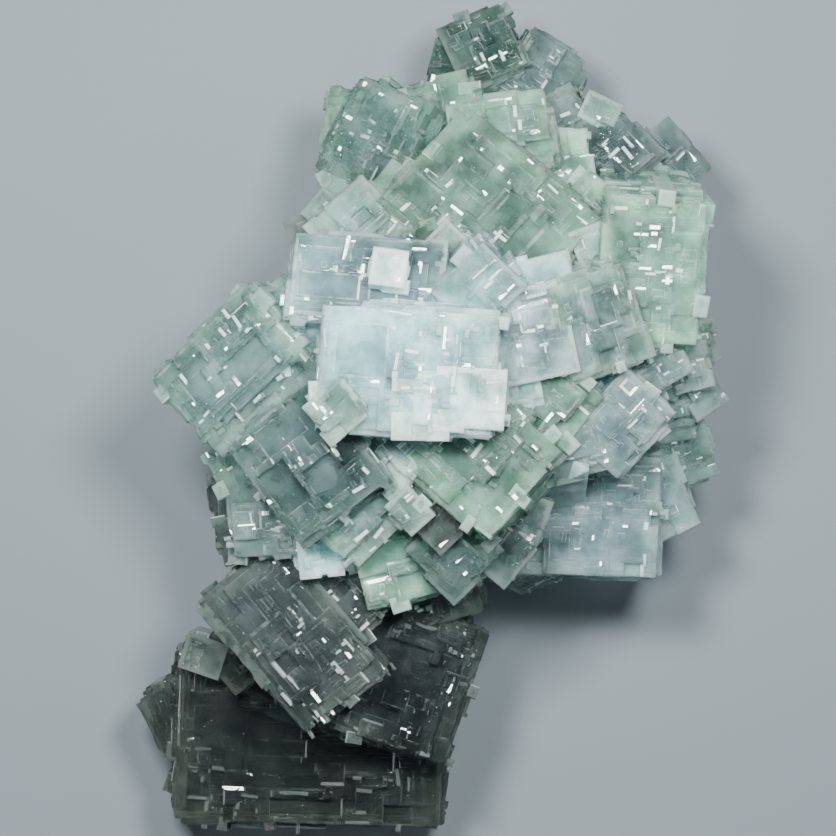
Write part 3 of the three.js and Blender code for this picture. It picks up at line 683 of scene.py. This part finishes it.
def lump(middle, radii, spin):
    """A cleaved lump of massive fluorite: an octahedron that leans over."""
    points = [(1, 0, 0), (-1, 0, 0), (0, 1, 0), (0, -1, 0), (0, 0, 1), (0, 0, -1)]
    upper = [(0, 2, 4), (2, 1, 4), (1, 3, 4), (3, 0, 4)]
    faces = upper + [(2, 0, 5), (1, 2, 5), (3, 1, 5), (0, 3, 5)]
    piece = mesh_object("lump", points, faces)
    spread = Matrix.Diagonal((*radii, 1))
    lean = Matrix.Rotation(math.radians(LUMP_LEAN), 4, "Y")
    turn = Matrix.Rotation(math.radians(spin), 4, "Z")
    piece.data.transform(Matrix.Translation(Vector(middle)) @ lean @ turn @ spread)
    # Lumps behind the lower end are tinted dark: partly darker fluorite, partly painted shade behind
    # the clear crystals there.
    tint = "smoke" if middle[1] < DARK_END else "pale"
    return marked(piece, [LENGTH] * 3, 2, [(0, 0, 1)] * len(faces), tint, LUMP_MILK)


def below_rest():
    """Everything below the level that the cluster rests on."""
    wide, deep = LENGTH, -LENGTH
    points = [(x, y, z) for x in (-wide, wide) for y in (-wide, wide) for z in (deep, 0)]
    faces = [(0, 1, 3, 2), (4, 6, 7, 5), (0, 4, 5, 1), (2, 3, 7, 6), (0, 2, 6, 4), (1, 5, 7, 3)]
    piece = mesh_object("below", points, faces)
    return marked(piece, [LENGTH] * 3, 2, [(0, 0, 1)] * len(faces), "pale", BASE_MILK)


def outer_shell(piece):
    """Drops what is sealed inside the cluster: every shell but the largest."""
    mesh = piece.data
    edges = np.zeros(2 * len(mesh.edges), dtype=np.int32)
    mesh.edges.foreach_get("vertices", edges)
    ends = edges.reshape(-1, 2).T
    shells = np.arange(len(mesh.vertices))
    settled = False
    while not settled:
        before = shells.copy()
        lowest = np.minimum(shells[ends[0]], shells[ends[1]])
        np.minimum.at(shells, ends[0], lowest)
        np.minimum.at(shells, ends[1], lowest)
        shells = shells[shells]
        settled = np.array_equal(before, shells)
    largest = np.bincount(shells).argmax()
    kept = bmesh.new()
    kept.from_mesh(mesh)
    sealed = [vertex for vertex in kept.verts if shells[vertex.index] != largest]
    bmesh.ops.delete(kept, geom=sealed, context="VERTS")
    kept.to_mesh(mesh)
    kept.free()


def cluster():
    """The whole cluster: the crystals and the lumps behind them, cut off flat at its back."""
    crystals = [crystal(number, *facts) for number, facts in enumerate(CRYSTALS)]
    lumps = [lump(*facts) for facts in LUMPS]
    piece = combined(crystals[0], crystals[1:] + lumps, "UNION")
    piece = combined(piece, [below_rest()], "DIFFERENCE")
    outer_shell(piece)
    piece.data.transform(Matrix.Scale(MM, 4) @ Matrix.Translation(CENTRING))
    piece.name = "fluorite_crystals"
    piece.data.name = piece.name
    return piece


# ---------------------------------------------------------------- materials

FLUORITE_IOR = 1.434
ABSORPTION_COLOUR = (0.70, 0.86, 0.80, 1)
ABSORPTION_DENSITY = 14.0  # per metre
SCATTER_RADIUS = (0.8, 1.0, 0.95)
SCATTER_SCALE = 2.5 * MM
BUMP_DEPTH = 0.12 * MM
RIM_PLACES = (0.2, 1.2)  # how far from a face's edges its milky rim fades out, in millimetres
ZONE_PLACES = (1.6, 3.2)  # how far in its colour changes to that of its middle
PAINTED_HIGHLIGHT_WHITE = (0.92, 1.0, 0.98, 1)  # the painted highlight on steps, glints and milky rims, standing for the light they catch
FLOOR_COLOURS = ((0.13, 0.15, 0.175, 1), (0.145, 0.165, 0.19, 1))


class Shading:
    """A new material's nodes, added one call at a time."""

    def __init__(self, name):
        self.material = bpy.data.materials.new(name)
        self.material.use_nodes = True
        self.nodes = self.material.node_tree.nodes
        self.links = self.material.node_tree.links
        self.nodes.clear()
        self.output = self.nodes.new("ShaderNodeOutputMaterial")

    def set(self, socket, value):
        if isinstance(value, bpy.types.NodeSocket):
            self.links.new(value, socket)
        else:
            socket.default_value = value

    def add(self, kind, inputs=None, out=0, **settings):
        node = self.nodes.new("ShaderNode" + kind)
        for setting, value in settings.items():
            setattr(node, setting, value)
        for name, value in (inputs or {}).items():
            self.set(node.inputs[name], value)
        return node.outputs[out]

    def parts(self, vector):
        """The x and y of a vector."""
        node = self.add("SeparateXYZ", {"Vector": vector}).node
        return node.outputs[0], node.outputs[1]

    def math(self, operation, *values):
        return self.add("Math", dict(enumerate(values)), operation=operation)

    def highest(self, first, *others):
        """The highest of several values."""
        for other in others:
            first = self.math("MAXIMUM", first, other)
        return first

    def blend(self, factor, first, second, kind="MIX"):
        inputs = {0: factor, 6: first, 7: second}
        return self.add("Mix", inputs, out=2, data_type="RGBA", blend_type=kind)

    def ramp(self, value, low, high, start=0.0, end=1.0):
        """The value, taken smoothly from low..high to start..end."""
        inputs = {"Value": value, "From Min": low, "From Max": high, "To Min": start, "To Max": end}
        return self.add("MapRange", inputs, interpolation_type="SMOOTHSTEP")

    def noise(self, place, scale, detail=3.0, roughness=0.5, distortion=0.0):
        inputs = {
            "Vector": place, "Scale": scale, "Detail": detail,
            "Roughness": roughness, "Distortion": distortion,
        }
        return self.add("TexNoise", inputs)


def fluorite():
    """Clear to milky fluorite: each face has a milky rim and a clearer window, and its own tint, with
    painted highlights on its steps, glints and rims.
    """
    s = Shading("fluorite")
    place = s.add("TexCoord", out="Object")
    tint = s.add("Attribute", out="Color", attribute_name="tint")
    milk, step, painted_glint, across, along = (
        s.add("Attribute", out="Fac", attribute_name=name)
        for name in ("milk", "step", "painted_glint", "across", "along")
    )
    facets = s.add("UVMap", uv_map="facets")
    share_u, share_v = s.parts(s.add("UVMap", uv_map="shares"))
    edge_u = s.math("MULTIPLY", across, s.math("SUBTRACT", 1.0, s.math("ABSOLUTE", share_u)))
    edge_v = s.math("MULTIPLY", along, s.math("SUBTRACT", 1.0, s.math("ABSOLUTE", share_v)))
    edge = s.math("MINIMUM", edge_u, edge_v)

    soft = s.noise(place, 130, detail=3)
    grain = s.noise(place, 800, detail=3, roughness=0.6)
    ragged = s.math("ADD", edge, s.math("MULTIPLY_ADD", grain, 1.4, -0.7))
    rim = s.ramp(ragged, *RIM_PLACES, 1.0, 0.0)
    zone = s.ramp(ragged, *ZONE_PLACES)
    veil = s.ramp(soft, 0.35, 0.65)
    mottle = s.ramp(s.noise(place, 300, detail=4, roughness=0.6), 0.32, 0.68)
    # Painted glints: marked facets are whitened and made milky as a painted highlight, less on the
    # clearest crystals.
    painted_glint_strength = s.math("MULTIPLY", painted_glint, s.ramp(milk, 0.0, 0.35, 0.1, 1.0))
    slope = s.math("MULTIPLY", step, s.ramp(grain, 0.42, 0.58, 0.1, 1.0))

    mixed = s.math("MULTIPLY_ADD", mottle, 0.4, s.math("MULTIPLY_ADD", veil, 0.5, 0.35))
    window_milk = s.math("MULTIPLY", milk, mixed)
    rim_milk = s.math("MULTIPLY", rim, s.math("MULTIPLY_ADD", milk, 0.8, 0.1))
    # Steps are made milkier, so that their painted highlight shows.
    slope_milk = s.math("MULTIPLY", slope, s.math("MULTIPLY_ADD", milk, 0.5, 0.1))
    painted_glint_milk = s.math("MULTIPLY", painted_glint_strength, 0.8)
    cloudy = s.highest(window_milk, rim_milk, slope_milk, painted_glint_milk)
    cloudy = s.math("MINIMUM", cloudy, 1.0)

    layout = {
        "Vector": facets, "Scale": 1.0, "Brick Width": 1.1, "Row Height": 0.36,
        "Color1": (0, 0, 0, 1), "Color2": (1, 1, 1, 1),
        "Mortar": (0.3, 0.3, 0.3, 1), "Mortar Size": 0.012, "Mortar Smooth": 0.3,
    }
    bricks = s.add("TexBrick", layout, offset=0.37, squash=1.6, squash_frequency=3)
    worn = s.math("MULTIPLY", bricks, s.ramp(soft, 0.4, 0.6, 0.2, 0.8))
    relief = s.math("ADD", worn, s.math("MULTIPLY", grain, 0.25))
    normal = s.add("Bump", {"Height": relief, "Strength": 0.5, "Distance": BUMP_DEPTH})

    deep = s.blend(milk, (0.62, 0.72, 0.76, 1), (0.88, 0.95, 1.0, 1))
    zoned = s.blend(zone, (0.87, 1.0, 0.95, 1), deep)
    shaded = s.blend(mottle, (0.74, 0.82, 0.82, 1), (1, 1, 1, 1))
    colour = s.blend(1.0, s.blend(1.0, tint, zoned, kind="MULTIPLY"), shaded, kind="MULTIPLY")
    # Painted highlight: steps and glint marks are whitened, less on clearer crystals.
    painted_highlight = s.highest(s.math("MULTIPLY", slope, 0.6), painted_glint_strength)
    painted_highlight = s.math("MULTIPLY", painted_highlight, s.ramp(milk, 0.0, 0.5, 0.15, 1.0))
    # Rims are whitened: partly the rim's own milky colour, partly a painted highlight along the
    # edges.
    milky_rim_and_painted_highlight = s.math("MULTIPLY", rim, s.math("MULTIPLY", milk, 0.5))
    # The tinted colour with the painted highlights blended in.
    pale = s.blend(s.highest(painted_highlight, milky_rim_and_painted_highlight), colour, PAINTED_HIGHLIGHT_WHITE)

    shader = s.add(
        "BsdfPrincipled",
        {
            "Base Color": pale, "IOR": FLUORITE_IOR, "Normal": normal,
            "Roughness": s.math("MULTIPLY_ADD", cloudy, 0.12, 0.03),
            "Transmission Weight": s.math("MULTIPLY_ADD", cloudy, -0.9, 1.0),
            "Subsurface Weight": 1.0, "Subsurface Radius": SCATTER_RADIUS,
            "Subsurface Scale": SCATTER_SCALE,
        },
    )
    s.set(s.output.inputs["Surface"], shader)
    absorption = {"Color": ABSORPTION_COLOUR, "Density": ABSORPTION_DENSITY}
    absorbing = s.add("VolumeAbsorption", absorption)
    s.set(s.output.inputs["Volume"], absorbing)
    return s.material


def pale_floor():
    s = Shading("floor")
    place = s.add("TexCoord", out="Object")
    grain = s.noise(place, 6, detail=2)
    colour = s.blend(grain, *FLOOR_COLOURS)
    shader = s.add("BsdfPrincipled", {"Base Color": colour, "Roughness": 0.7})
    s.set(s.output.inputs["Surface"], shader)
    return s.material


# ---------------------------------------------------------------- the studio

CAMERA_HEIGHT = 450 * MM  # above the middle depth of the cluster
MIDDLE_DEPTH = 25 * MM
FRAME_WIDTH = 95 * MM  # what the camera takes in at the middle depth
CAMERA_PLACE = (-1.6 * MM, -0.05 * MM)
SENSOR = 36.0
FLOOR_SIZE = 3.0
KEY_PLACE = (-0.055, 0.071, 0.248)
# Name, place, width, power in watts and colour of each light.
LIGHTS = [
    ("key", KEY_PLACE, 0.05, 1.25, (0.92, 1.0, 0.96)),
    ("high", (0.053, 0.063, 0.251), 0.05, 1.0, (0.92, 1.0, 0.96)),
    ("fill", (0.35, 0.10, 0.30), 0.25, 0.5, (0.92, 0.98, 1.0)),
    ("rim", (-0.40, -0.05, 0.15), 0.20, 0.5, (0.92, 0.97, 1.0)),
]
WORLD_COLOUR = (0.62, 0.70, 0.80, 1)
WORLD_STRENGTH = 0.11


def make_camera():
    data = bpy.data.cameras.new("camera")
    data.sensor_width = SENSOR
    data.lens = SENSOR * CAMERA_HEIGHT / FRAME_WIDTH
    data.clip_start = 0.01
    camera = bpy.data.objects.new("camera", data)
    camera.location = (*CAMERA_PLACE, MIDDLE_DEPTH + CAMERA_HEIGHT)
    bpy.context.scene.collection.objects.link(camera)
    bpy.context.scene.camera = camera


def make_light(name, place, size, power, colour):
    """A soft square light that faces the middle of the cluster."""
    data = bpy.data.lights.new(name, "AREA")
    data.shape = "SQUARE"
    data.size = size
    data.energy = power
    data.color = colour
    light = bpy.data.objects.new(name, data)
    light.location = place
    aim = Vector((0, 0, MIDDLE_DEPTH)) - light.location
    light.rotation_euler = aim.to_track_quat("-Z", "Y").to_euler()
    bpy.context.scene.collection.objects.link(light)


def make_studio():
    world = bpy.data.worlds.new("studio")
    world.use_nodes = True
    background = world.node_tree.nodes["Background"]
    background.inputs["Color"].default_value = WORLD_COLOUR
    background.inputs["Strength"].default_value = WORLD_STRENGTH
    bpy.context.scene.world = world
    for light in LIGHTS:
        make_light(*light)
    floor = mesh_object("floor", [(-1, -1, 0), (1, -1, 0), (1, 1, 0), (-1, 1, 0)], [(0, 1, 2, 3)])
    floor.data.transform(Matrix.Diagonal((FLOOR_SIZE / 2, FLOOR_SIZE / 2, 1, 1)))
    floor.data.materials.append(pale_floor())


def make_crystals():
    piece = cluster()
    piece.data.materials.clear()
    piece.data.materials.append(fluorite())
    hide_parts("fluorite_cluster")
    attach(piece, "root")


def set_paths():
    """Clear crystals need long light paths."""
    cycles = bpy.context.scene.cycles
    cycles.max_bounces = 8
    cycles.transmission_bounces = 7
    cycles.transparent_max_bounces = 4


make_camera()
make_studio()
make_crystals()
set_paths()
